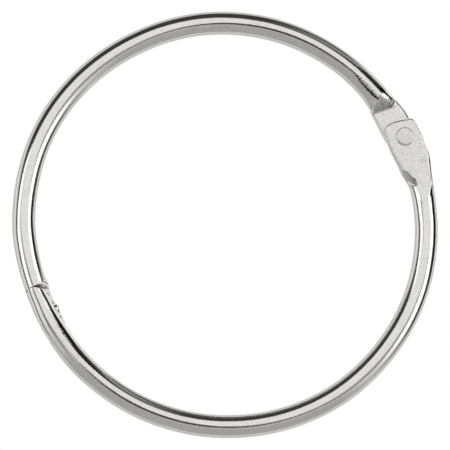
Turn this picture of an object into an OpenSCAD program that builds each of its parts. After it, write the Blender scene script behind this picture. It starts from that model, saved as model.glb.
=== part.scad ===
// Hinged loose-leaf binder ring, millimetres.
//
// Two halves are bent from round wire.  At one side the ends are forged into
// flat lugs that lap over each other on a rivet.  At the other side the ends
// are half-lapped and hook over each other, which is the snap.
//
// The closed ring lies flat: the wire's centre circle is in the XY plane
// about the origin, the rivet is on +X and the snap on -X.  The rivet half
// runs round the +Y side, the swing half round the -Y side.

/* [Ring] */
// Clear diameter inside the closed ring
clear_d = 50.8; // [46:0.1:60]
// Diameter of the drawn wire
wire_d = 3.05; // [2.9:0.05:3.2]

/* [Hinge] */
// Thickness of each forged lug
lug_t = 1.16; // [1.05:0.01:1.2]
// Running gap between the two lugs
lug_gap = 0.05; // [0.04:0.01:0.1]
// How far a lug reaches past the rivet
lug_reach = 2.45; // [2.3:0.05:2.7]
// Distance from the rivet to the foot of the ramp up to the full wire
ramp_foot = 4.5; // [4.3:0.05:5.2]
// Length of that ramp along the wire
ramp_len = 1.75; // [1.2:0.05:2]
// Inner edge of the rivet half's lug, inwards from the wire's centre line
rivet_lug_in = 2.52; // [2.3:0.02:2.7]
// Outer edge of the rivet half's lug, outwards from the wire's centre line
rivet_lug_out = 1.75; // [1.6:0.01:1.85]
// Inner edge of the swing half's lug, inwards from the wire's centre line
swing_lug_in = 2.74; // [2.5:0.02:2.8]
// Outer edge of the swing half's lug at its free end, outwards from that line
swing_lug_out = 2.08; // [1.95:0.01:2.15]

/* [Rivet] */
// Rivet's place, outwards from the wire's centre line
rivet_off = -0.175; // [-0.3:0.025:0]
// Shank diameter
shank_d = 1.60; // [1.3:0.05:1.8]
// Head diameter
head_d = 2.42; // [2.2:0.02:2.8]
// Head height over the lug
head_h = 0.30; // [0.14:0.01:0.32]
// Radial clearance of the shank in the swing half's bore
run_fit = 0.05; // [0.02:0.01:0.1]

/* [Snap] */
// Half length of the flat part of the lap
lap_half = 3.10; // [2.6:0.05:3.4]
// Length of the ramps at the two ends of the lap
lap_ramp = 0.66; // [0.62:0.01:0.95]
// How far each hook reaches past the ring's mid-plane
hook_h = 0.16; // [0.08:0.01:0.22]
// Length of the hook's sloped face
hook_len = 0.24; // [0.2:0.01:0.4]
// Place of the hook along the lap, towards the rivet half
hook_at = 0.15; // [-0.3:0.05:0.3]
// Gap between the lapped faces
lap_gap = 0.06; // [0.04:0.01:0.1]
// How far the rivet half's tongue is set inwards where the halves meet
tongue_set = 0.26; // [0:0.02:0.3]

/* [Hidden] */

wire_r = wire_d / 2;
ring_r = clear_d / 2 + wire_r;      // the wire's centre circle
rivet_x = ring_r + rivet_off;
lug_face = lug_gap / 2;             // lapped face of a lug, from the mid-plane
lug_back = lug_face + lug_t;        // outside face of a lug, from the mid-plane
bore_r = shank_d / 2 + run_fit;
seat_r = shank_d / 2;               // the rivet half's bore, filled by the rivet

sides = 40;                         // points round one section of an end
blend_y = 12.2;                     // hinge ends start this far from the X axis
skin = 0.02;                        // they start this far inside the wire

// ---- small helpers -------------------------------------------------------

function clamp(v, lo = 0, hi = 1) = min(hi, max(lo, v));
function smooth(v) = let (t = clamp(v)) t * t * (3 - 2 * t);
function mix(a, b, t) = a + (b - a) * t;
function span(a, b, n) = [for (i = [0 : n - 1]) mix(a, b, i / n)];
// quarter of a superellipse: 1 at u = 0, falling to 0 at u = 1
function round_off(u, n) = pow(max(0, 1 - pow(clamp(u), n)), 1 / n);

// the wire's inner and outer line in the plane at distance y from the X axis
function wire_in(y) = sqrt(pow(ring_r - wire_r, 2) - y * y);
function wire_out(y) = sqrt(pow(ring_r + wire_r, 2) - y * y);

// one closed section in the plane y: x_in to x_out wide, rounded with its own
// squareness on each side, and cut off flat at z_lo and z_hi
function section(y, x_in, x_out, z_lo, z_hi, sq_in, sq_out, height) =
    let (
        mid = (x_in + x_out) / 2, half = (x_out - x_in) / 2,
        t_lo = asin(clamp(z_lo / height, -0.9994, 0.9994)),
        t_hi = asin(clamp(z_hi / height, -0.9994, 0.9994)),
        last = sides / 2 - 1
    ) concat(
        [for (i = [0 : last]) let (s = sin(mix(t_lo, t_hi, i / last)))
            [mid + half * pow(1 - pow(abs(s), sq_out), 1 / sq_out), y, height * s]],
        [for (i = [0 : last]) let (s = sin(mix(t_hi, t_lo, i / last)))
            [mid - half * pow(1 - pow(abs(s), sq_in), 1 / sq_in), y, height * s]]);

// a solid through a row of sections
module loft(rows) {
    n = len(rows[0]);
    m = len(rows);
    polyhedron(
        points = [for (row = rows) for (p = row) p],
        faces = concat(
            [[for (i = [0 : n - 1]) i]],
            [for (k = [0 : m - 2]) for (i = [0 : n - 1])
                let (j = (i + 1) % n) each [
                    [k * n + i, (k + 1) * n + i, k * n + j],
                    [k * n + j, (k + 1) * n + i, (k + 1) * n + j]]],
            [[for (i = [n - 1 : -1 : 0]) (m - 1) * n + i]]),
        convexity = 4);
}

// the plain round wire from one angle to another
module wire(from, to) {
    rotate_extrude(start = from, angle = to - from, $fn = 180)
        translate([ring_r, 0]) circle(r = wire_r, $fn = 48);
}

// ---- forged hinge end ----------------------------------------------------
// Written for the lower lug, whose wire comes from +Y and whose lug ends at
// -Y.  The swing half uses the same end turned over about the X axis.
//   e = [lug inner line, shoulder start, shoulder end, its power,
//        lug outer line, shoulder start, shoulder end, its power,
//        outward splay, inner taper, squareness from/to inside, outside]

rivet_end = [ring_r - rivet_lug_in, 11.5, 4.3, 1.7,
             ring_r + rivet_lug_out, 6.8, 2.4, 0.8, 0, 0.05,
             3.8, 5.6, 3.6, 5.8];
swing_end = [ring_r - swing_lug_in, 7.3, 4.1, 1.0,
             ring_r + swing_lug_out - 0.34, 5.9, 3.8, 0.8, 0.34, 0.05,
             2.8, 5.4, 4.4, 7.8];

end_y = 0.8;                        // the lug's inner corner rounds from here
corner_y = lug_reach - 0.55;        // its outer corner is rounded down to here
corner_r = 0.42;                    // by this much; a straight slant follows
apex_x = ring_r - 1.05;             // and the lug is longest here

function lug_in(y, e) =
    y > e[2] ? wire_in(y) - (wire_in(e[2]) - e[0])
                 * pow(clamp((e[1] - y) / (e[1] - e[2])), e[3])
             : e[0] + e[9] * pow(max(0, 1.5 - y), 2);
function lug_out(y, e) =
    y > e[6] ? wire_out(y) + (e[4] - wire_out(e[6]))
                 * pow(clamp((e[5] - y) / (e[5] - e[6])), e[7])
             : e[4] + e[8] * smooth((e[6] - y) / 3.4);
function end_in(y, e) = y > -end_y ? lug_in(y, e) :
    mix(apex_x, lug_in(-end_y, e), round_off((-y - end_y) / (lug_reach - end_y + 0.01), 2.6));
function end_out(y, e) =
    y > -corner_y ? lug_out(y, e)
                    - corner_r * (1 - round_off((-y - corner_y + 0.6) / 0.6, 2))
                  : mix(lug_out(-corner_y, e) - corner_r, apex_x + 0.4,
                        (-y - corner_y) / (lug_reach - corner_y));

// squareness of a section: 2 is round wire, 8 is a lug with upright edges
function square_at(y, lug, round) = mix(8, 2, smooth((y - lug) / (round - lug)));
// the ramp down from the full wire to the lapped face
function ramp_z(y) = y < ramp_foot ? -lug_face :
    mix(-lug_face, wire_r, (y - ramp_foot) / ramp_len);
// the flat forged on the outside, which runs out along the wire
function back_z(y) = -mix(lug_back, wire_r + 0.02, clamp((y - 5.2) / 4.3));

module forged_end(e) {
    ramp_top = ramp_foot + ramp_len;
    ys = concat(
        span(blend_y, ramp_top, 10),
        span(ramp_top, ramp_foot, 6),
        span(ramp_foot, -end_y, 8),
        span(-end_y, -corner_y, 5),
        [for (i = [0 : 5]) -corner_y - (lug_reach - corner_y) * sin(90 * i / 5)]);
    loft([for (y = ys)
        let (inside = skin * smooth((y - 9) / 2))
        section(y, end_in(y, e) + inside, end_out(y, e) - inside,
                back_z(y), ramp_z(y),
                square_at(y, e[10], e[11]), square_at(y, e[12], e[13]),
                wire_r - inside)]);
}

// ---- half-lapped snap end ------------------------------------------------
// Written for the lower tongue, on the +X side, whose wire comes from +Y.

tip_y = lap_half + 0.46;            // the tongue's blunt tip
tip_in = lap_half - 0.5;            // its inner corner rounds from here
tip_out = lap_half - 0.3;           // and its outer corner from here

// the upper face of the tongue: ramp, neck, hook, head and bevelled tip
function tongue_z(y, hook) =
    let (f = lap_gap / 2)
    y > lap_half ? mix(-hook_h - f, wire_r, (y - lap_half) / lap_ramp) :
    y > hook + hook_len / 2 ? -hook_h - f :
    y > hook - hook_len / 2 ? mix(hook_h - f, -hook_h - f, (y - hook) / hook_len + 0.5) :
    y > -lap_half + 0.1 ? hook_h - f :
    mix(hook_h - f, -wire_r, (-lap_half + 0.1 - y) / (lap_ramp + 0.02));
function tongue_in(y, set) =
    let (s = wire_in(y) - set * smooth((13 - y) / 9) + 0.05 * pow(max(0, -y), 2))
    y > -tip_in ? s : mix(ring_r + 0.4 - set, s, round_off((-y - tip_in) / 1.12, 2));
function tongue_out(y, set) =
    let (s = wire_out(y) - set * smooth((13 - y) / 9))
    y > -tip_out ? s : mix(ring_r + 0.4 - set, s, round_off((-y - tip_out) / 0.92, 2.2));
function tongue_back(y) = wire_r - 0.1 * pow(clamp((-y - tip_in) / 1.12), 2);

module snap_end(set, hook) {
    ramp_top = lap_half + lap_ramp;
    ys = concat(
        span(blend_y + 1.4, ramp_top, 7),
        span(ramp_top, lap_half, 4),
        span(lap_half, hook + hook_len / 2, 3),
        [hook + hook_len / 2],
        span(hook - hook_len / 2, -tip_in, 4),
        [-tip_in, -tip_out],
        span(-lap_half + 0.1, -tip_y, 6), [-tip_y]);
    loft([for (y = ys)
        let (inside = skin * smooth((y - 10) / 2))
        section(y, tongue_in(y, set) + inside, tongue_out(y, set) - inside,
                -wire_r, tongue_z(y, hook), 2, 2, tongue_back(y) - inside)]);
}

// ---- the pieces ----------------------------------------------------------

hinge_a = asin((blend_y - 0.1) / (ring_r + wire_r));
snap_a = 180 - asin((blend_y + 1.3) / (ring_r + wire_r));

module rivet_half() {
    color([0.80, 0.80, 0.79]) union() {
        wire(hinge_a, snap_a);
        difference() {
            forged_end(rivet_end);
            translate([rivet_x, 0, -wire_r]) cylinder(r = seat_r, h = wire_d, $fn = 48);
        }
        mirror([1, 0, 0]) snap_end(tongue_set, hook_at);
    }
}

module swing_half() {
    color([0.80, 0.80, 0.79]) rotate([180, 0, 0]) union() {
        wire(hinge_a, snap_a);
        difference() {
            forged_end(swing_end);
            translate([rivet_x, 0, -wire_r]) cylinder(r = bore_r, h = wire_d, $fn = 48);
        }
        mirror([1, 0, 0]) snap_end(0, -hook_at);
    }
}

// low button head: a short edge under a shallow dome
module button(h) {
    edge = 0.4 * h;
    rise = h - edge;
    dome = (pow(head_d / 2, 2) + rise * rise) / (2 * rise);
    intersection() {
        cylinder(d = head_d, h = h + 0.1, $fn = 64);
        translate([0, 0, h - dome]) sphere(r = dome, $fn = 200);
    }
}

module hinge_rivet() {
    color([0.78, 0.77, 0.76]) translate([rivet_x, 0, 0]) union() {
        translate([0, 0, -lug_back - 0.05])
            cylinder(d = shank_d, h = 2 * lug_back + 0.1, $fn = 48);
        translate([0, 0, lug_back + 0.02]) button(head_h);
        mirror([0, 0, 1]) translate([0, 0, lug_back]) button(head_h);
    }
}

rivet_half();
swing_half();
hinge_rivet();
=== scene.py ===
import math
import bpy
import numpy as np
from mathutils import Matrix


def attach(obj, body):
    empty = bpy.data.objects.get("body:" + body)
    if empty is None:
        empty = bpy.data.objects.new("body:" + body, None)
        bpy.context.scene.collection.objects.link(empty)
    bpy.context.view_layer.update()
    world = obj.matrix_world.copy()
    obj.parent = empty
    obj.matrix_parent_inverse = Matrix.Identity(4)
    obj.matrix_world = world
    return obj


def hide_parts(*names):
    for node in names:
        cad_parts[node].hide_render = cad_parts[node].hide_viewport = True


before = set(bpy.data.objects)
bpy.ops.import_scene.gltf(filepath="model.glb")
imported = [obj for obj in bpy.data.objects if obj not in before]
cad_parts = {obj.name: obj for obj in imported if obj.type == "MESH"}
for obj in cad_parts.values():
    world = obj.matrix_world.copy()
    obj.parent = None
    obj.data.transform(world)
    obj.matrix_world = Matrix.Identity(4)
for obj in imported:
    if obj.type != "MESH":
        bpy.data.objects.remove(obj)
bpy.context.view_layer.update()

# ---------------------------------------------------------------- dimensions
# millimetres, in the row frame; the meshes are scaled to metres at the end
WIRE = 1.525                    # wire radius
RING = 26.925                   # wire centre circle
R_IN, R_OUT = RING - WIRE, RING + WIRE
PIVOT = 26.75
FACE = 0.025                    # lapped lug faces, from the mid-plane
BACK = 1.185                    # outside lug faces, from the mid-plane
HOOK = 0.16
LAPGAP = 0.03
AROUND = 128                    # points round the wire


def smooth(t):
    t = np.clip(t, 0.0, 1.0)
    return t * t * (3 - 2 * t)


def smax(a, b, k):
    """The larger of a and b, with the corner rounded over a width k."""
    h = np.clip(k - np.abs(a - b), 0, None) / k
    return np.maximum(a, b) + h * h * k * 0.25


def wire_in(y):
    return np.sqrt(np.clip(R_IN ** 2 - y * y, 0, None))


def wire_out(y):
    return np.sqrt(np.clip(R_OUT ** 2 - y * y, 0, None))


class Line:
    """A smooth line through a few knots."""

    def __init__(self, knots, soft=0.3, step=0.02):
        k = sorted(knots)
        self.x = np.arange(k[0][0] - 1, k[-1][0] + 1 + step, step)
        v = np.interp(self.x, [p[0] for p in k], [p[1] for p in k])
        n = max(1, int(3 * soft / step))
        w = np.exp(-0.5 * (np.arange(-n, n + 1) * step / soft) ** 2)
        self.v = np.convolve(np.pad(v, n, mode="edge"), w / w.sum(), mode="valid")

    def __call__(self, x):
        return np.interp(x, self.x, self.v)


# how far each lug's edges stand off the plain wire's, along Y from the hinge
LUGS = {
    "rivet_half": dict(
        bulge_in=Line([(3.0, 0.74), (4.3, 0.67), (5.5, 0.47), (7.0, 0.28), (8.5, 0.18), (10.0, 0.14), (11.5, 0.08), (12.5, 0.02), (14, 0.0)], 0.35),
        bulge_out=Line([(2.0, 0.36), (3.0, 0.31), (3.9, 0.26), (4.6, 0.22), (5.4, 0.14), (6.5, 0.02), (8, 0.0), (9, -0.02), (11, -0.02), (12.5, 0.0), (14, 0.0)], 0.3),
        flat_in=24.40, flat_out=28.68, join_in=3.8, join_out=2.6,
        square_in=(3.8, 5.4), square_out=(3.4, 5.6), shoulder=False,
        ridge=Line([(2.5, -1.3), (3.9, -0.18), (4.23, 0.12), (4.57, 0.467), (4.9, 0.767), (5.23, 1.04), (5.65, 1.25), (6.0, 1.40), (6.4, 1.56), (7.0, 1.85), (8, 2.5), (14, 6)], 0.1)),
    "swing_half": dict(
        bulge_in=Line([(3.2, 1.0), (4.1, 0.94), (4.9, 0.77), (5.5, 0.53), (6.2, 0.31), (6.7, 0.22), (7.5, 0.18), (8.4, 0.14), (9.5, 0.10), (11, 0.05), (12.5, 0.0), (14, 0.0)], 0.22),
        bulge_out=Line([(1.8, 0.42), (2.9, 0.48), (3.9, 0.47), (4.6, 0.35), (5.2, 0.17), (5.8, 0.01), (6.3, -0.04), (7.5, -0.02), (9, -0.04), (11, -0.07), (12.5, -0.04), (14, 0.0)], 0.3),
        flat_in=24.17, flat_out=29.01, join_in=3.0, join_out=1.4,
        square_in=(2.6, 5.2), square_out=(4.4, 8.6), shoulder=True, ridge=None),
}
# the slanted free end of a lug, past the rivet
END = Line([(23.5, -1.5), (24.3, 0.4), (24.6, 1.35), (24.76, 1.86), (24.97, 2.2), (25.2, 2.36), (25.7, 2.45), (26.3, 2.44), (26.9, 2.32),
            (27.5, 2.16), (28.1, 2.0), (28.55, 1.90), (28.82, 1.70), (28.97, 1.3), (29.07, 0.7), (29.4, -1.5)], 0.04)
# how strongly the rolls marked the wire (degrees from the hinge, 0 to 1)
TICKS = {
    "rivet_half": Line([(-10, 0.2), (6, 0.1), (12.5, 0.1), (14.5, 1.0), (21, 1.0), (28, 0.45), (45, 0.12), (150, 0.12), (165, 0.3), (190, 0.3)], 2.0),
    "swing_half": Line([(-10, 0.2), (6, 0.3), (12, 0.5), (28, 0.3), (45, 0.12), (150, 0.12), (163, 0.3), (178, 0.5), (190, 0.5)], 2.0),
}
# dark lines on the upper side, (x, y, width) along each: painted shade along the hinge edges, painted reflection
# widening the wire's dark band, and press marks on the snap ends
PAINTED_SHADE_AND_PRESS_MARKS = {
    "rivet_half": [
        [(24.36, 10.7, 0.03), (24.52, 9.9, 0.08), (24.70, 9.0, 0.12), (25.04, 7.89, 0.16), (25.38, 6.90, 0.18), (25.72, 6.12, 0.16)],
        [(27.88, 4.85, 0.04), (28.17, 4.17, 0.05), (28.38, 3.1, 0.06), (28.49, 2.13, 0.06)],
        [(26.80, 7.0, 0.22), (27.04, 6.3, 0.18), (27.30, 5.8, 0.12), (27.60, 5.3, 0.07), (27.88, 4.85, 0.05), (28.17, 4.17, 0.05)],
        [(-25.29, 0.24, 0.14), (-25.18, 0.10, 0.08)], [(-25.18, -0.45, 0.08), (-25.28, -0.75, 0.06)],
        [(-25.36, -1.30, 0.09), (-25.28, -1.50, 0.06)], [(-25.38, 0.90, 0.09), (-25.33, 0.66, 0.06)], [(-25.45, 2.2, 0.08), (-25.38, 1.9, 0.05)],
    ],
    "swing_half": [
        [(24.92, 4.80, 0.02), (25.10, 5.25, 0.04), (25.20, 5.70, 0.05), (25.21, 6.10, 0.05), (25.14, 6.50, 0.03)],
        [(-26.20, 2.46, 0.09), (-26.22, 2.64, 0.09)], [(-26.25, 3.40, 0.09), (-26.24, 3.70, 0.09)], [(-26.2, 3.0, 0.07), (-26.2, 3.1, 0.05)],
    ],
}
# the wire's centre line wanders a little from a true circle (degrees, mm)
DRIFT = {
    "rivet_half": Line([(20, 0.0), (25, -0.045), (31, -0.04), (40, 0.01), (50, 0.035), (60, 0.02), (70, 0.015), (80, -0.035), (90, -0.09), (100, -0.06), (110, 0.015), (120, 0.07), (130, 0.085), (138, 0.04), (145, -0.01), (151, 0.0), (170, 0.0)], 2.0),
    "swing_half": Line([(20, -0.03), (26, -0.03), (30, -0.01), (34, -0.012), (43, 0.045), (53, 0.025), (63, -0.013), (73, -0.003), (83, 0.03), (93, -0.006), (103, -0.028), (113, -0.05), (123, -0.016), (133, 0.01), (143, 0.045), (150, 0.045), (158, 0.03), (166, 0.0), (190, 0.0)], 2.0),
}


for half in LUGS:
    LUGS[half]["drift"] = DRIFT[half]


def lug_in(y, e):
    near = wire_in(y) - e["bulge_in"](y)
    far = e["flat_in"] + 0.05 * np.clip(1.6 - y, 0, None) ** 2
    w = smooth((y - e["join_in"] + 0.8) / 1.6)
    return far * (1 - w) + near * w


def lug_out(y, e):
    near = wire_out(y) + e["bulge_out"](y)
    far = e["flat_out"] - 0.03 * np.clip(y - 1.0, 0, None)
    w = smooth((y - e["join_out"] + 0.8) / 1.6)
    return far * (1 - w) + near * w


def grad_scaled(fn, X, Y, Z):
    """An implicit function divided by its slope, so it reads in mm near its surface."""
    h = 1e-3
    f = fn(X, Y, Z)
    gx = (fn(X + h, Y, Z) - f) / h
    gy = (fn(X, Y + h, Z) - f) / h
    gz = (fn(X, Y, Z + h) - f) / h
    return f / np.sqrt(gx * gx + gy * gy + gz * gz + 1e-6)


def lug_side(X, Y, Z, e):
    """The upright sides of a forged hinge end; below zero inside."""
    # above the lug's half of the wire the inner side keeps the wire's own round
    spread = 1 - smooth((Z + 0.4) / 1.5)
    xi = lug_in(Y, e)
    xi = wire_in(Y) * (1 - spread) + xi * spread
    xo = lug_out(Y, e)
    mid, half = (xi + xo) / 2, (xo - xi) / 2
    u = (X - mid) / half
    w = Z / WIRE
    sq = lambda a: 8 - 6 * smooth((Y - a[0]) / (a[1] - a[0]))
    n = np.where(u > 0, sq(e["square_out"]), sq(e["square_in"]))
    return ((np.abs(u) + 1e-9) ** n + (np.abs(w) + 1e-9) ** n) ** (1 / n) - 1


def pinched(P):
    """Distance inside the facet's plane, past its borders 1."""
    X, Y, Z = P[..., 0], P[..., 1], P[..., 2]
    facet = np.abs(-0.64 * (X - 24.38) + 0.486 * (Y - 4.36) - 0.596 * (Z + 1.19))
    stop = np.minimum(0.938 * (25.48 - X) + 0.348 * (5.80 - Y), 0.9 * (6.52 + 0.3 * (X - 25.25) - Y))
    return np.where((stop > -0.05) & (Z < -0.55) & (Y > 4.0), facet, 1.0)


LUGS["swing_half"]["facet"] = pinched


def end_side(X, Y):
    h = 0.01
    t = -Y - END(X)
    slope = (END(X + h) - END(X - h)) / (2 * h)
    return t / np.sqrt(1 + np.minimum(slope ** 2, 30.0))


def hinge_end(X, Y, Z, e, foot, slope):
    f = grad_scaled(lambda x, y, z: lug_side(x, y, z, e), X, Y, Z)
    if (Y < 0.5).any():
        f = np.where(Y < 0.5, smax(f, end_side(X, Y), 0.05), f)
    # plain wire away from the forged end
    ring = np.hypot(np.hypot(X, Y) - RING - e["drift"](np.degrees(np.arctan2(Y, X))), Z) - WIRE
    w = smooth((Y - 10.0) / 2.0)
    f = f * (1 - w) + ring * w
    # outside flat, running out along the wire
    back = BACK + (WIRE + 0.03 - BACK) * np.clip((Y - 5.3) / 4.0, 0, 1)
    fb = (-Z - back) * 0.996
    # the facet pinched in where the lug narrows to the wire
    if e["shoulder"]:
        facet = -0.64 * (X - 24.38) + 0.486 * (Y - 4.36) - 0.596 * (Z + 1.19)
        stop = -smax(0.938 * (X - 25.48) + 0.348 * (Y - 5.80), 0.9 * (Y - 6.52 - 0.3 * (X - 25.25)), 0.1)
        depth = -Z - 0.60
        f = smax(f, -smax(smax(-facet, -stop, 0.06), -depth, 0.10), 0.06)
    # lapped face, and the ramp up to the full wire
    yf = foot - 0.125 * (X - 26.0)
    slope = 0.90 + 0.12 * np.clip(X - 26.2, 0, None)
    c = 1 / np.sqrt(1 + slope * slope)
    low = Z + FACE
    hollow = 0.05 * np.exp(-(((X - 26.45) / 0.65) ** 2 + ((Y - 5.05) / 0.5) ** 2))
    high = (Z + FACE - slope * (Y - yf)) * c + hollow
    rim = 0.14 + 0.0 * Y
    if e["ridge"]:
        off = np.clip(np.hypot(X, Y) - RING, 0, None)
        high = smax(high, (Z - e["ridge"](Y) + 0.35 * off * off) * 0.68, 0.10)
        rim = 0.14 + 0.22 * smooth((X - 26.8) / 0.8) * smooth((Y - 3.9) / 0.8) * smooth((6.9 - Y) / 0.9)
    # inside the solid both must hold where the ramp is above the face
    ft = -smax(-low, -high, 0.10)
    rim = np.where(Y < 3.9, np.maximum(rim, 0.13 if e["ridge"] else 0.24), rim)
    edge = 0.10 + 0.28 * smooth((6.2 - Y) / 2.0)
    if e["shoulder"]:
        edge = edge + 0.30 * smooth((X - 26.6) / 0.8) * smooth((Y - 3.2) / 1.2) * smooth((7.2 - Y) / 1.2)
    return smax(smax(f, fb, edge), ft, rim), fb, ft, f


TIP = Line([(24.5, 1.9), (25.3, 2.5), (25.7, 2.86), (25.98, 3.06), (26.31, 3.28), (26.57, 3.46), (26.9, 3.64), (27.3, 3.76),
            (27.56, 3.77), (27.8, 3.66), (28.0, 3.4), (28.15, 3.05), (28.35, 2.3), (29, 0.2)], 0.06)
FOOT = Line([(24, 2.6), (25.1, 2.75), (25.5, 2.88), (26.0, 3.15), (26.5, 3.39), (27.4, 3.6), (29, 3.6)], 0.1)
TONGUES = {
    "rivet_half": dict(
        hook_at=0.15,
        shift=Line([(-4, 0.20), (4, 0.22), (6, 0.19), (8, 0.13), (10, 0.06), (12, 0.0), (16, 0.0)], 0.5),
        extra=Line([(-3, -0.05), (-2.2, -0.04), (-1.7, 0.0), (-0.62, 0.13), (-0.32, 0.22), (0.34, 0.25), (0.50, 0.06), (0.8, 0.07), (1.5, 0.07), (2, 0.10), (2.8, 0.13), (3.3, 0.18), (3.7, 0.16), (4.4, 0.06), (5.0, 0.02), (6, 0), (16, 0)], 0.05),
        outer=Line([(-4, 0.0), (16, 0.0)], 0.5), below=0.2),
    "swing_half": dict(
        hook_at=-0.15,
        shift=Line([(-4, 0.0), (16, 0.0)], 0.5),
        extra=Line([(-4, -0.42), (-2.8, -0.32), (-2.0, -0.20), (-1.2, -0.12), (0, -0.07), (1.1, -0.02), (2.2, 0.03), (3.2, 0.06), (4.6, 0.05), (6, 0.0), (16, 0.0)], 0.4),
        outer=Line([(-4, 0.20), (-3, 0.17), (-2.2, 0.19), (-1.5, 0.19), (-0.9, 0.15), (0, 0.08), (1, 0.05), (2, 0.02), (3, 0.02), (4.5, 0.03), (5.5, 0.0), (7, -0.05), (9, -0.08), (11, -0.07), (13, 0.0), (16, 0.0)], 0.3), below=9.0),
}


for half in TONGUES:
    TONGUES[half]["drift"] = DRIFT[half]


def snap_end(X, Y, Z, e, ramp_top=3.76):
    X = np.abs(X)
    s = e["shift"](Y)

    def side(x, y, z):
        s_ = e["shift"](y)
        xi = wire_in(y) - s_ - e["extra"](y) * (1 - smooth((z - e["below"]) / 0.9))
        xo = wire_out(y) - s_ - e["outer"](y)
        u = (x - (xi + xo) / 2) / ((xo - xi) / 2)
        return np.hypot(u, z / WIRE) - 1
    f = grad_scaled(side, X, Y, Z)
    ring = np.hypot(np.hypot(X, Y) - RING - e["drift"](180 - np.degrees(np.arctan2(Y, X))), Z) - WIRE
    w = smooth((Y - 9.5) / 3.0)
    f = f * (1 - w) + ring * w
    # blunt rounded tip
    near = Y < -1.5
    if near.any():
        h = 1e-2
        t = -Y - TIP(X + s * 0.5)
        slope = (TIP(X + h) - TIP(X - h)) / (2 * h)
        ft = t / np.sqrt(1 + np.minimum(slope ** 2, 6.0))
        f = np.where(near, smax(f, ft, 0.16), f)
    # upper face: ramp, neck, hook, head, bevelled tip
    hk, ha, hl = HOOK, e["hook_at"], 0.24
    ramp_foot = FOOT(X)
    k = (ramp_top - ramp_foot) / (WIRE + hk)
    neck = Z + hk + LAPGAP
    ramp = ((Z + hk + LAPGAP) * k - (Y - ramp_foot)) / np.sqrt(1 + k ** 2)
    slant = (Z - 0.62 - 0.922 * (Y - 3.46) - 0.627 * (X - 25.0)) / 1.499
    low = -smax(-neck, -smax(ramp, slant, 0.12), 0.08)
    head = Z - hk + LAPGAP
    step = ((Y - ha) * 2 * hk / hl + Z) / math.hypot(2 * hk / hl, 1)
    bevel = (Z - hk + LAPGAP - (Y + 2.95) * 1.77) / math.hypot(1, 1.77)
    head = smax(smax(head, step, 0.03), bevel, 0.10)
    top = np.minimum(low, head)
    return smax(f, top, 0.07), top, f


# --------------------------------------------------------------- half meshes

def solve(fn, O, d, reach, na=360, steps=22):
    """Distance from each section's centre to the surface, at na angles."""
    al = np.arange(na) * 2 * math.pi / na
    ca, sa = np.cos(al)[None, :], np.sin(al)[None, :]
    lo = np.zeros((len(O), na))
    hi = np.full((len(O), na), reach)
    for _ in range(steps):
        m = (lo + hi) / 2
        X = O[:, 0:1] + m * ca * d[:, 0:1]
        Y = O[:, 1:2] + m * ca * d[:, 1:2]
        Z = O[:, 2:3] + m * sa
        ins = fn(X, Y, Z) < 0
        lo = np.where(ins, m, lo)
        hi = np.where(ins, hi, m)
    return al, (lo + hi) / 2


def resample(al, rho, n, corner=1.6):
    """n points round each section, closer together where it turns quickly."""
    out = []
    for row in rho:
        x, z = row * np.cos(al), row * np.sin(al)
        dx, dz = np.roll(x, -1) - x, np.roll(z, -1) - z
        L = np.hypot(dx, dz) + 1e-9
        ang = np.unwrap(np.arctan2(dz, dx))
        turn = np.abs(np.diff(np.append(ang, ang[0] + 2 * math.pi)))
        turn = np.minimum(turn, 0.6)
        k = np.ones(5) / 5
        turn = np.convolve(np.concatenate([turn[-2:], turn, turn[:2]]), k, mode="valid")
        w = L / L.sum() + corner * 0.35 * turn / max(turn.sum(), 1e-9)
        c = np.concatenate([[0], np.cumsum(w)])
        c /= c[-1]
        idx = np.arange(len(al) + 1)
        at = np.interp(np.arange(n) / n, c, idx)
        xx, zz = np.append(x, x[0]), np.append(z, z[0])
        out.append(np.stack([np.interp(at, idx, xx), np.interp(at, idx, zz)], -1))
    return np.array(out)


def spaced(knots):
    """Stations from knots of (place, spacing)."""
    out = [knots[0][0]]
    sgn = 1 if knots[-1][0] > knots[0][0] else -1
    xs = [k[0] for k in knots]
    if sgn < 0:
        xs, ss = xs[::-1], [k[1] for k in knots][::-1]
    else:
        ss = [k[1] for k in knots]
    while True:
        nxt = out[-1] + sgn * float(np.interp(out[-1], xs, ss))
        if (knots[-1][0] - nxt) * sgn < 0.3 * ss[-1 if sgn > 0 else 0]:
            break
        out.append(nxt)
    out.append(knots[-1][0])
    return np.array(out)


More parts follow.
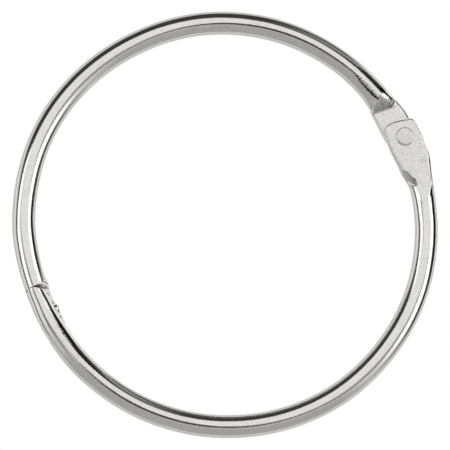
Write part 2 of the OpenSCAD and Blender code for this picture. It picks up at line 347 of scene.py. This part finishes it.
def build_half(name):
    """Points (stations, around, 3) in the lower-end frame, with masks."""
    e, t = LUGS[name], TONGUES[name]
    foot, slope = 4.43, 0.985

    # hinge end: planes of constant Y, from the lug's tip
    ys = spaced([(-2.445, 0.006), (-2.42, 0.01), (-2.3, 0.022), (-2.0, 0.03), (-1.1, 0.04), (0, 0.12), (3.2, 0.12), (4.0, 0.045), (6.6, 0.045), (8, 0.08), (12, 0.14)])
    xi, xo = lug_in(ys, e), lug_out(ys, e)
    xc = (xi + xo) / 2
    w = smooth((ys + 2.5) / 1.8)
    xc = 25.95 * (1 - w) + xc * w
    zc = -0.6 * (1 - smooth((ys - 4.2) / 2.0))
    O = np.stack([xc, ys, zc], -1)
    d = np.tile([1.0, 0.0], (len(ys), 1))
    fn = lambda X, Y, Z: hinge_end(X, Y, Z, e, foot, slope)[0]
    al, rho = solve(fn, O, d, 3.4)
    xz = resample(al, rho, AROUND)
    P1 = np.empty((len(ys), AROUND, 3))
    P1[..., 0] = O[:, None, 0] + xz[..., 0]
    P1[..., 1] = O[:, None, 1]
    P1[..., 2] = O[:, None, 2] + xz[..., 1]
    _, fb, ft, fs = hinge_end(P1[..., 0], P1[..., 1], P1[..., 2], e, foot, slope)
    m = -np.maximum(fb, ft)
    satin1 = smooth(1 - (m - 0.02) / 0.10) * (1 - smooth((P1[..., 1] - (8.1 if e["shoulder"] else 9.8)) / 2.0))
    ramp1 = smooth(1 - (-ft - 0.02) / 0.10) * smooth((P1[..., 1] - foot + 0.125 * (P1[..., 0] - 26) + 0.05) / 0.1)

    # plain wire between the ends
    th0, th1 = math.asin(12.0 / RING), math.pi - math.asin(13.7 / RING)
    th = np.linspace(th0, th1, 190)[1:-1]
    a, b = math.radians(46), math.radians(130)
    psi = np.where(th < a, th * smooth((th - th0) / (a - th0)),
                   np.where(th > b, th + (math.pi - th) * smooth((th - b) / (th1 - b)), th))
    ph = np.arange(AROUND) * 2 * math.pi / AROUND
    mid = RING + DRIFT[name](np.degrees(th))
    rr = mid[:, None] + WIRE * np.cos(ph)[None, :]
    P0 = mid[:, None] * np.stack([np.cos(th), np.sin(th)], -1)
    dd = np.stack([np.cos(psi), np.sin(psi)], -1)
    bb = (P0 * dd).sum(1)[:, None]
    tt = -bb + np.sqrt(bb * bb - (mid[:, None] ** 2 - rr ** 2))
    P2 = np.empty((len(th), AROUND, 3))
    P2[..., 0] = P0[:, None, 0] + dd[:, None, 0] * tt
    P2[..., 1] = P0[:, None, 1] + dd[:, None, 1] * tt
    P2[..., 2] = WIRE * np.sin(ph)[None, :]

    # snap end: planes of constant Y, down to the tongue's tip
    ys3 = spaced([(13.7, 0.3), (8, 0.2), (4.6, 0.08), (4.2, 0.035), (2.9, 0.035), (2.6, 0.09), (0.9, 0.09), (0.7, 0.03), (-0.45, 0.03), (-0.6, 0.09), (-2.6, 0.07), (-3.3, 0.03), (-3.6, 0.012), (-3.70, 0.006)])
    xm = (wire_in(ys3) + wire_out(ys3)) / 2 - t["shift"](ys3)
    w = smooth((ys3 + 3.8) / 1.6)
    xm = 27.35 * (1 - w) + xm * w
    zc = -0.75 * (1 - smooth((ys3 - 3.0) / 1.0))
    w = smooth((-ys3 - 2.6) / 1.0)
    zc = zc * (1 - w) + (-1.27) * w
    O = np.stack([-xm, ys3, zc], -1)
    d = np.tile([-1.0, 0.0], (len(ys3), 1))
    fn = lambda X, Y, Z: snap_end(X, Y, Z, t)[0]
    al, rho = solve(fn, O, d, 2.6)
    xz = resample(al, rho, AROUND, 1.0)
    P3 = np.empty((len(ys3), AROUND, 3))
    P3[..., 0] = O[:, None, 0] - xz[..., 0]
    P3[..., 1] = O[:, None, 1]
    P3[..., 2] = O[:, None, 2] + xz[..., 1]
    _, top, fs3 = snap_end(P3[..., 0], P3[..., 1], P3[..., 2], t)
    satin3 = smooth(1 - (-top - 0.02) / 0.08)

    P = np.concatenate([P1, P2, P3])
    satin = np.concatenate([satin1, np.zeros(P2.shape[:2]), satin3 * 0.7])
    ramp = np.concatenate([ramp1, np.zeros(P2.shape[:2]), np.zeros(P3.shape[:2])])
    # painted shade: in the crevice where the other half's tip meets the step, and on the facet by the hinge
    painted_crevice_shade = satin3 * smooth((P3[..., 1] - 2.9) / 0.1) * smooth((-P3[..., 0] - 26.6) / 0.4) * (0.2 if name == "rivet_half" else 0.0)
    painted_shade_hinge = smooth(1 - (e["facet"](P1) - 0.01) / 0.05) * (0.12 + 0.26 * smooth((P1[..., 0] - 24.5) / 0.9)) if e["shoulder"] else np.zeros(P1.shape[:2])
    # painted shade spots darkening a bright patch on the hinge end
    x, y, amount, wide = (24.84, 6.10, 0.38, 0.32) if e["shoulder"] else (27.55, 4.45, 0.14, 0.20)
    painted_shade_spot = amount * np.exp(-((P1[..., 0] - x) / wide) ** 2 - ((P1[..., 1] - y) / (0.9 * wide)) ** 2)
    painted_shade_hinge = np.maximum(painted_shade_hinge, np.where(e["shoulder"] & (P1[..., 2] > -0.4), 0.0, painted_shade_spot))
    shade = np.concatenate([painted_shade_hinge, np.zeros(P2.shape[:2]), painted_crevice_shade])
    # painted highlight lightening the snap's step
    step = satin3 * smooth((P3[..., 1] - 2.72) / 0.06) * (0.62 if name == "rivet_half" else 0.0)
    # painted highlight lightening the outer part of the hinge ramp
    painted_ramp_light = ramp1 * smooth((P1[..., 0] - 26.2) / 0.8) * (0.40 if name == "rivet_half" else 0.0)
    painted_highlight = np.concatenate([painted_ramp_light, np.zeros(P2.shape[:2]), step])
    return P, satin, ramp, shade, painted_highlight


# painted highlights along edges, lightening the tone
PAINTED_HIGHLIGHT_LINES = {
    "rivet_half": [[(26.50, 6.55, 0.08), (26.93, 5.95, 0.10), (27.26, 5.40, 0.10), (27.42, 5.12, 0.05)], [(27.95, 4.2, 0.03), (28.18, 3.3, 0.04), (28.3, 2.4, 0.03)]],
    "swing_half": [],
}


def line_mask(X, Y, lines):
    out = np.zeros_like(X)
    for pts in lines:
        for (x0, y0, w0), (x1, y1, w1) in zip(pts, pts[1:]):
            dx, dy = x1 - x0, y1 - y0
            t = np.clip(((X - x0) * dx + (Y - y0) * dy) / (dx * dx + dy * dy), 0, 1)
            d = np.hypot(X - x0 - t * dx, Y - y0 - t * dy)
            out = np.maximum(out, smooth((w0 + (w1 - w0) * t - d) / 0.05 + 0.5))
    return out


def put_mesh(name, P, masks, flip):
    M, N = P.shape[:2]
    V = P.reshape(-1, 3).copy()
    if flip:
        V[:, 1] *= -1
        V[:, 2] *= -1
    V *= 0.001
    i = np.arange(M - 1)[:, None] * N
    j = np.arange(N)[None, :]
    jn = (j + 1) % N
    quads = np.stack([i + j, i + jn, i + N + jn, i + N + j], -1).reshape(-1, 4)
    faces = [tuple(int(x) for x in q) for q in quads]
    V = np.concatenate([V, V[:N].mean(0, keepdims=True), V[-N:].mean(0, keepdims=True)])
    a, b = M * N, M * N + 1
    for k in range(N):
        k2 = (k + 1) % N
        faces.append((a, k2, k))
        faces.append((b, (M - 1) * N + k, (M - 1) * N + k2))
    me = bpy.data.meshes.new(name + "_forged")
    me.from_pydata([tuple(map(float, v)) for v in V], [], faces)
    me.polygons.foreach_set("use_smooth", [True] * len(me.polygons))
    # lengths along and round the wire, for the finish
    along = np.concatenate([[0], np.cumsum(np.linalg.norm(np.diff(P.mean(1), axis=0), axis=1))])
    along = along / along[-1]
    uv = me.uv_layers.new(name="UVMap")
    co = np.zeros((len(me.loops), 2), np.float32)
    vi = np.zeros(len(me.loops), np.int32)
    me.loops.foreach_get("vertex_index", vi)
    st = np.minimum(vi // N, M - 1)
    ar = vi % N
    u = along[st]
    v = ar / N
    nq = len(quads) * 4
    # close the seam on the last column of quads
    q = np.arange(nq) // 4
    last = (q % N) == N - 1
    wrap = last & (ar[:nq] == 0)
    v = v.astype(np.float64)
    v[:nq][wrap] = 1.0
    co[:, 0], co[:, 1] = u, v
    co[nq:, 0] = np.where(vi[nq:] >= M * N, np.where(vi[nq:] == a, 0.0, 1.0), co[nq:, 0])
    co[nq:, 1] = np.where(vi[nq:] >= M * N, 0.5, co[nq:, 1])
    uv.data.foreach_set("uv", co.ravel())
    for key, mask in masks.items():
        at = me.attributes.new(key, "FLOAT", "POINT")
        at.data.foreach_set("value", np.append(mask.reshape(-1), [float(mask[0].mean()), float(mask[-1].mean())]).astype(np.float32))
    me.validate()
    me.update()
    # outward faces
    import bmesh
    bm = bmesh.new()
    bm.from_mesh(me)
    bmesh.ops.recalc_face_normals(bm, faces=bm.faces)
    if bm.calc_volume(signed=True) < 0:
        bmesh.ops.reverse_faces(bm, faces=bm.faces)
    bm.to_mesh(me)
    bm.free()
    ob = bpy.data.objects.new(name + "_wire", me)
    bpy.context.scene.collection.objects.link(ob)
    return ob


# ------------------------------------------------------------------- finish

def node(nt, kind, **kw):
    n = nt.nodes.new(kind)
    for k, v in kw.items():
        if k == "inputs":
            for i, val in v.items():
                n.inputs[i].default_value = val
        else:
            setattr(n, k, v)
    return n


def math_node(nt, op, a, b=None, c=None, clamp=False):
    n = nt.nodes.new("ShaderNodeMath")
    n.operation = op
    n.use_clamp = clamp
    for i, x in enumerate((a, b, c)):
        if x is None:
            continue
        if isinstance(x, (int, float)):
            n.inputs[i].default_value = x
        else:
            nt.links.new(x, n.inputs[i])
    return n.outputs[0]


def nickel(name, length, base=(0.662, 0.648, 0.630)):
    m = bpy.data.materials.new(name)
    m.use_nodes = True
    nt = m.node_tree
    nt.nodes.clear()
    out = node(nt, "ShaderNodeOutputMaterial")
    p = node(nt, "ShaderNodeBsdfPrincipled")
    p.inputs["Metallic"].default_value = 1.0
    nt.links.new(p.outputs[0], out.inputs[0])
    uv = node(nt, "ShaderNodeUVMap", uv_map="UVMap")
    tc = node(nt, "ShaderNodeTexCoord")

    def mask(key):
        return node(nt, "ShaderNodeAttribute", attribute_name=key, attribute_type="GEOMETRY").outputs["Fac"]
    satin, ramp, ticks, marks_and_painted_light = mask("satin"), mask("ramp"), mask("ticks"), mask("marks_and_painted_light")

    def mapped(sx, sy, src=uv.outputs[0]):
        mp = node(nt, "ShaderNodeMapping")
        mp.inputs["Scale"].default_value = (sx, sy, 1)
        nt.links.new(src, mp.inputs[0])
        return mp.outputs[0]

    def noise(vec, scale, detail=2.0, rough=0.5):
        n = node(nt, "ShaderNodeTexNoise", noise_dimensions="3D")
        n.inputs["Scale"].default_value = scale
        n.inputs["Detail"].default_value = detail
        n.inputs["Roughness"].default_value = rough
        nt.links.new(vec, n.inputs["Vector"])
        return n.outputs["Fac"]

    def spread(x, lo, hi, smoothed=False):
        n = node(nt, "ShaderNodeMapRange", interpolation_type="SMOOTHSTEP" if smoothed else "LINEAR")
        n.clamp = True
        nt.links.new(x, n.inputs["Value"])
        n.inputs["From Min"].default_value = lo
        n.inputs["From Max"].default_value = hi
        return n.outputs[0]

    # drawing lines run along the wire: long in u, short in v
    lines = noise(mapped(length * 0.35, 9.6 * 6.0), 1.0, 3.0, 0.6)
    fine = noise(mapped(length * 1.6, 9.6 * 14.0), 1.0, 2.0, 0.6)
    # chatter left across the wire by the bending rolls
    chatter = noise(mapped(length * 4.6, 9.6 * 2.4), 1.0, 1.0, 0.5)
    obj = node(nt, "ShaderNodeMapping")
    obj.inputs["Scale"].default_value = (1000, 1000, 1000)
    nt.links.new(tc.outputs["Object"], obj.inputs[0])
    obj = obj.outputs[0]
    grain = noise(obj, 7.0, 3.0, 0.6)
    cloud = noise(obj, 0.45, 3.0, 0.5)
    speck = noise(obj, 4.2, 2.0, 0.55)
    dents = noise(obj, 2.0, 3.0, 0.6)
    mottle = spread(noise(obj, 3.6, 3.0, 0.7), 0.33, 0.67)
    cell = node(nt, "ShaderNodeTexVoronoi", feature="F1")
    cell.inputs["Scale"].default_value = 1.9
    nt.links.new(obj, cell.inputs["Vector"])
    pit = spread(cell.outputs["Distance"], 0.09, 0.20, True)

    # the plate's tone: even on the wire, mottled where it was struck
    amp = math_node(nt, "MULTIPLY_ADD", satin, 0.075, 0.015)
    amp = math_node(nt, "MULTIPLY_ADD", ramp, 0.11, amp)
    tone = math_node(nt, "MULTIPLY", math_node(nt, "SUBTRACT", mottle, 0.5), amp)
    low = math_node(nt, "MULTIPLY", math_node(nt, "SUBTRACT", cloud, 0.5), 0.05)
    tone = math_node(nt, "ADD", tone, low)
    tone = math_node(nt, "MULTIPLY_ADD", math_node(nt, "SUBTRACT", speck, 0.5), 0.20, tone)
    tone = math_node(nt, "MULTIPLY_ADD", math_node(nt, "SUBTRACT", lines, 0.5), 0.16, tone)
    hole = math_node(nt, "MULTIPLY", math_node(nt, "SUBTRACT", pit, 1.0), math_node(nt, "MULTIPLY", satin, 0.08))
    tone = math_node(nt, "ADD", tone, hole)
    teeth = math_node(nt, "MULTIPLY_ADD", spread(chatter, 0.4, 0.6, True), 0.35, 0.65)
    # painted shade lines darken the tone here, and painted highlights lighten it
    tone = math_node(nt, "MULTIPLY_ADD", math_node(nt, "MULTIPLY", marks_and_painted_light, teeth), -0.55, tone)
    tone = math_node(nt, "MULTIPLY_ADD", tone, 1.0, 0.5, clamp=True)
    shade = node(nt, "ShaderNodeMix", data_type="RGBA")
    shade.inputs["A"].default_value = (0, 0, 0, 1)
    shade.inputs["B"].default_value = (base[0] * 2, base[1] * 2, base[2] * 2, 1)
    nt.links.new(tone, shade.inputs["Factor"])
    nt.links.new(shade.outputs["Result"], p.inputs["Base Color"])

    r_wire = math_node(nt, "MULTIPLY_ADD", lines, 0.06, 0.05)
    r_flat = math_node(nt, "MULTIPLY_ADD", grain, 0.14, 0.14)
    mixr = node(nt, "ShaderNodeMix", data_type="FLOAT")
    nt.links.new(satin, mixr.inputs["Factor"])
    nt.links.new(r_wire, mixr.inputs["A"])
    nt.links.new(r_flat, mixr.inputs["B"])
    nt.links.new(mixr.outputs["Result"], p.inputs["Roughness"])

    # heights in thousandths of a millimetre
    hl = math_node(nt, "MULTIPLY", speck, 6.5)
    hl = math_node(nt, "MULTIPLY_ADD", lines, 0.8, hl)
    hl = math_node(nt, "MULTIPLY_ADD", fine, 0.4, hl)
    hl = math_node(nt, "MULTIPLY_ADD", chatter, math_node(nt, "MULTIPLY", ticks, 9.0), hl)
    mixh = node(nt, "ShaderNodeMix", data_type="FLOAT")
    nt.links.new(satin, mixh.inputs["Factor"])
    nt.links.new(hl, mixh.inputs["A"])
    g2 = math_node(nt, "MULTIPLY", dents, 24.0)
    g2 = math_node(nt, "MULTIPLY_ADD", grain, 9.0, g2)
    g2 = math_node(nt, "MULTIPLY_ADD", pit, 14.0, g2)
    g2 = math_node(nt, "MULTIPLY_ADD", speck, math_node(nt, "MULTIPLY_ADD", ramp, 26.0, 12.0), g2)
    nt.links.new(g2, mixh.inputs["B"])
    bump = node(nt, "ShaderNodeBump")
    bump.inputs["Strength"].default_value = 1.0
    bump.inputs["Distance"].default_value = 0.000001
    nt.links.new(mixh.outputs["Result"], bump.inputs["Height"])
    nt.links.new(bump.outputs[0], p.inputs["Normal"])
    return m


def rivet_mesh():
    """Shank and two low button heads with well rounded rims, turned about the pivot."""
    HR, SR, HH, RIM = 1.21, 0.80, 0.30, 0.17

    def head(z0, up):
        pts = []
        top = HH - 0.03
        for k in range(11):
            a = k / 10 * math.pi / 2
            pts.append((HR - RIM + RIM * math.cos(a), z0 + up * (top - RIM + RIM * math.sin(a))))
        r0, zt = pts[-1]
        for k in range(1, 17):
            r = r0 * (1 - k / 16)
            pts.append((max(r, 0.0), zt + up * 0.03 * (1 - (r / r0) ** 2)))
        return pts
    top = [(SR, 0.0), (SR, BACK + 0.02), (HR - 0.03, BACK + 0.02), (HR, BACK + 0.05)] + head(BACK + 0.02, 1)
    bot = [(SR, 0.0), (SR, -BACK), (HR - 0.03, -BACK), (HR, -BACK - 0.03)] + head(-BACK, -1)
    prof = bot[::-1][:-1] + top
    prof = [p for p in prof]
    n = 128
    verts, faces, rows = [], [], []
    for r, z in prof:
        if r < 1e-6:
            rows.append([len(verts)])
            verts.append((PIVOT, 0.0, z))
        else:
            rows.append(list(range(len(verts), len(verts) + n)))
            for i in range(n):
                a = 2 * math.pi * i / n
                verts.append((PIVOT + r * math.cos(a), r * math.sin(a), z))
    for A, B in zip(rows, rows[1:]):
        for i in range(n):
            j = (i + 1) % n
            if len(A) == 1 and len(B) == 1:
                continue
            if len(A) == 1:
                faces.append((A[0], B[j], B[i]))
            elif len(B) == 1:
                faces.append((A[i], A[j], B[0]))
            else:
                faces.append((A[i], A[j], B[j], B[i]))
    me = bpy.data.meshes.new("hinge_rivet_turned")
    me.from_pydata([tuple(c * 0.001 for c in v) for v in verts], [], faces)
    me.polygons.foreach_set("use_smooth", [True] * len(me.polygons))
    uv = me.uv_layers.new(name="UVMap")
    for poly in me.polygons:
        for li in poly.loop_indices:
            v = me.vertices[me.loops[li].vertex_index].co
            uv.data[li].uv = ((v.x * 1000 - PIVOT) / 4 + 0.5, v.y * 1000 / 4 + 0.5)
    for key, value in (("satin", 0.85), ("ramp", 0.0), ("ticks", 0.0), ("marks_and_painted_light", 0.0)):
        at = me.attributes.new(key, "FLOAT", "POINT")
        at.data.foreach_set("value", np.full(len(me.vertices), value, np.float32))
    me.validate()
    import bmesh
    bm = bmesh.new()
    bm.from_mesh(me)
    bmesh.ops.remove_doubles(bm, verts=bm.verts, dist=1e-8)
    bmesh.ops.recalc_face_normals(bm, faces=bm.faces)
    bm.to_mesh(me)
    bm.free()
    ob = bpy.data.objects.new("hinge_rivet_button", me)
    bpy.context.scene.collection.objects.link(ob)
    return ob


for name, body, flip in (("rivet_half", "rivet_side", False), ("swing_half", "swing_side", True)):
    P, satin, ramp, shade, painted_highlight = build_half(name)
    turn = np.degrees(np.arctan2(P[..., 1], P[..., 0]))
    off = np.hypot(P[..., 0], P[..., 1]) - RING
    near = TICKS[name](turn) * smooth((np.abs(P[..., 2]) - 1.15) / 0.2) * smooth((0.35 - off) / 0.3)
    top = P[..., 2] * (-1 if flip else 1) > -0.3
    # painted shade lines and spots darken the upper side; where there are none, painted highlights lighten it
    marks_and_painted_light = np.maximum(line_mask(P[..., 0], P[..., 1], PAINTED_SHADE_AND_PRESS_MARKS[name]) * top, shade)
    marks_and_painted_light = np.where(marks_and_painted_light > 0.02, marks_and_painted_light, -np.maximum(0.45 * line_mask(P[..., 0], P[..., 1], PAINTED_HIGHLIGHT_LINES[name]) * top, painted_highlight))
    ob = put_mesh(name, P, {"satin": satin, "ramp": ramp, "ticks": near, "marks_and_painted_light": marks_and_painted_light}, flip)
    ob.data.materials.append(nickel("nickel_" + name, 96.0))
    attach(ob, body)
    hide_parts(name)
rv = rivet_mesh()
rv.data.materials.append(nickel("nickel_rivet_head", 4.0, (0.632, 0.608, 0.594)))
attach(rv, "rivet_side")
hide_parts("hinge_rivet")

# -------------------------------------------------------------------- studio

def smoothstep(nt, x, lo, hi):
    n = node(nt, "ShaderNodeMapRange", interpolation_type="SMOOTHSTEP")
    n.clamp = True
    nt.links.new(x, n.inputs["Value"])
    n.inputs["From Min"].default_value = lo
    n.inputs["From Max"].default_value = hi
    return n.outputs[0]


world = bpy.data.worlds.new("soft_studio")
bpy.context.scene.world = world
world.use_nodes = True
nt = world.node_tree
nt.nodes.clear()
wout = node(nt, "ShaderNodeOutputWorld")
bg = node(nt, "ShaderNodeBackground")
tc = node(nt, "ShaderNodeTexCoord")
sep = node(nt, "ShaderNodeSeparateXYZ")
nt.links.new(tc.outputs["Generated"], sep.inputs[0])
X, Y, Z = sep.outputs
el = math_node(nt, "MULTIPLY", math_node(nt, "ARCSINE", math_node(nt, "MINIMUM", math_node(nt, "MAXIMUM", Z, -1.0), 1.0)), 57.29578)
# azimuth runs from 12 to 372 degrees, so that its cut lies in the dark
cc, cs = math.cos(math.radians(192)), math.sin(math.radians(192))
xr = math_node(nt, "ADD", math_node(nt, "MULTIPLY", X, cc), math_node(nt, "MULTIPLY", Y, cs))
yr = math_node(nt, "SUBTRACT", math_node(nt, "MULTIPLY", Y, cc), math_node(nt, "MULTIPLY", X, cs))
az = math_node(nt, "MULTIPLY_ADD", math_node(nt, "ARCTAN2", yr, xr), 57.29578, 192.0)


level = None


def card(value, az0=None, az1=None, el0=-100, el1=100, soft_el=(3, 3), lean=(0, 0), ref=0):
    """A soft-edged panel round the ring: azimuth edges as (place, softness), elevation edges that may lean with azimuth."""
    global level
    f = None

    def times(x):
        nonlocal f
        f = x if f is None else math_node(nt, "MULTIPLY", f, x)
    if az0:
        times(smoothstep(nt, az, az0[0] - az0[1], az0[0] + az0[1]))
    if az1:
        times(smoothstep(nt, az, az1[0] + az1[1], az1[0] - az1[1]))
    if el0 > -100:
        lo = math_node(nt, "SUBTRACT", el, math_node(nt, "MULTIPLY_ADD", az, lean[0], -ref * lean[0])) if lean[0] else el
        times(smoothstep(nt, lo, el0 - soft_el[0], el0 + soft_el[0]))
    if el1 < 100:
        hi = math_node(nt, "SUBTRACT", el, math_node(nt, "MULTIPLY_ADD", az, lean[1], -ref * lean[1])) if lean[1] else el
        times(smoothstep(nt, hi, el1 + soft_el[1], el1 - soft_el[1]))
    mx = node(nt, "ShaderNodeMix", data_type="FLOAT")
    nt.links.new(f, mx.inputs["Factor"])
    if level is None:
        mx.inputs["A"].default_value = 1.11         # the overhead diffuser
    else:
        nt.links.new(level, mx.inputs["A"])
    mx.inputs["B"].default_value = value
    level = mx.outputs["Result"]


card(0.76, None, None, -100, -28.1, (3, 8.6), (0, 0.002), 0)                                        # white table
card(0.53, (184.5, 13.3), (299.7, 14), -19.6, 66.2, (14.0, 14.0), (0.057, -0.151), 250)             # the room behind the camera
card(0.0, (200.9, 13.4), (310.0, 7.4), 64.3, 66.9, (8.7, 1.3), (-0.032, -0.108), 360)               # frame of the diffuser
card(0.05, (184.9, 4.0), (309.6, 14.0), 80.8, 85.5, (0.7, 3.4), (-0.139, 0.016), 230)               # its dark gap
card(0.36, (287.4, 12.0), (337.0, 14), 53.7, 73.1, (0.7, 14), (-0.549, -0.089), 300)
card(2.6, (315.0, 11.4), (369.0, 0.9), -3.5, 50.9, (1.5, 5.0), (0.501, -0.048), 330)                # white reflector
card(0.09, (303.9, 14.0), (340.0, 5.5), -13.7, 19.2, (6.4, 6.3), (0.141, 0.007), 330)               # dark stand under it
card(0.0, (325.8, 11.1), (357.9, 2.3), -5.0, 26.0, (11.3, 9.7), (-0.49, 0.067), 330)                # its foot, falling away
card(1.81, (121.9, 0.7), (166.8, 5.7), 20.5, 38.5, (1.8, 5.5), (-0.011, 0.104), 140)                # second reflector
card(0.21, (123.5, 7.8), (187.6, 7.4), 51.9, 53.8, (7.6, 5.7), (-0.192, 0.266), 140)
card(0.01, (121.1, 0.7), (186.4, 8.9), 1.1, 19.0, (14.0, 4.9), (-0.277, -0.372), 140)
card(0.02, None, (122.9, 3.6), -17.9, 40.9, (14.0, 5.2), (0.127, -0.155), 60)                       # black cloth
card(0.06, None, (132.8, 9.2), -8.2, 34.4, (10.3, 3.1), (-0.004, -0.211), 60)
card(0.42, (21.9, 1.7), (35.5, 11.4), 2.0, 43.7, (4.4, 3.0), (0.035, 0.021), 22.5)                  # its far folds
card(0.0, (19.2, 0.7), (32.0, 8.7), 26.5, 39.0, (0.7, 2.5), (0.035, -0.126), 21.8)
card(0.92, None, (23.2, 2.0), -70.0, 3.1, (8.0, 6.2), (0.0, 0.288), 31)                             # the table's lit end
card(1.1, (355.9, 3.6), None, -70.0, 4.1, (8.0, 5.0), (-0.0, 0.004), 359)
card(0.01, None, (23.8, 7.3), 21.8, 55.3, (3.9, 2.8), (1.507, -0.831), 13)                          # near fold of the cloth
card(0.01, (359.0, 3.0), None, 0.6, 41.6, (2.5, 14), (-0.379, 1.481), 364)
lp = node(nt, "ShaderNodeLightPath")
mx = node(nt, "ShaderNodeMix", data_type="FLOAT")
nt.links.new(lp.outputs["Is Camera Ray"], mx.inputs["Factor"])
nt.links.new(level, mx.inputs["A"])
mx.inputs["B"].default_value = 1.0
nt.links.new(mx.outputs["Result"], bg.inputs["Strength"])
bg.inputs["Color"].default_value = (1.0, 0.993, 0.983, 1)
nt.links.new(bg.outputs[0], wout.inputs[0])

# floor
bpy.ops.mesh.primitive_plane_add(size=6, location=(0, 0, -WIRE * 0.001 - 0.00001))
floor = bpy.context.object
floor.name = "floor"
fm = bpy.data.materials.new("pale_floor")
fm.use_nodes = True
ft_ = fm.node_tree
ft_.nodes.clear()
fo = node(ft_, "ShaderNodeOutputMaterial")
em = node(ft_, "ShaderNodeEmission")
em.inputs["Color"].default_value = (1, 1, 1, 1)
em.inputs["Strength"].default_value = 1.0
ft_.links.new(em.outputs[0], fo.inputs[0])
floor.data.materials.append(fm)
floor.visible_glossy = False
floor.visible_diffuse = False
floor.visible_shadow = False

# camera: 10.8 degrees off the ring's axis, far away with a long lens
tau, aw = math.radians(10.8), math.radians(41.9)
B = np.array([math.cos(math.radians(105.6)), math.sin(math.radians(105.6)), 0])
A = np.array([math.cos(math.radians(15.6)) * math.cos(tau), math.sin(math.radians(15.6)) * math.cos(tau), math.sin(tau)])
right = math.cos(aw) * A - math.sin(aw) * B
up = math.sin(aw) * A + math.cos(aw) * B
back = np.cross(right, up)
from mathutils import Matrix
cam = bpy.data.cameras.new("camera")
co = bpy.data.objects.new("camera", cam)
bpy.context.scene.collection.objects.link(co)
dist = 1.2
field = 450 / 7.555 * 0.001
cam.sensor_width = 36
cam.lens = 36 * dist / field
cam.clip_start, cam.clip_end = 0.05, 20
shift = -0.70 / 7.555 * 0.001 * right - 0.43 / 7.555 * 0.001 * up
pos = back * dist + shift
co.matrix_world = Matrix([[right[0], up[0], back[0], pos[0]],
                          [right[1], up[1], back[1], pos[1]],
                          [right[2], up[2], back[2], pos[2]],
                          [0, 0, 0, 1]])
bpy.context.scene.camera = co
bpy.context.scene.view_settings.view_transform = "Standard"
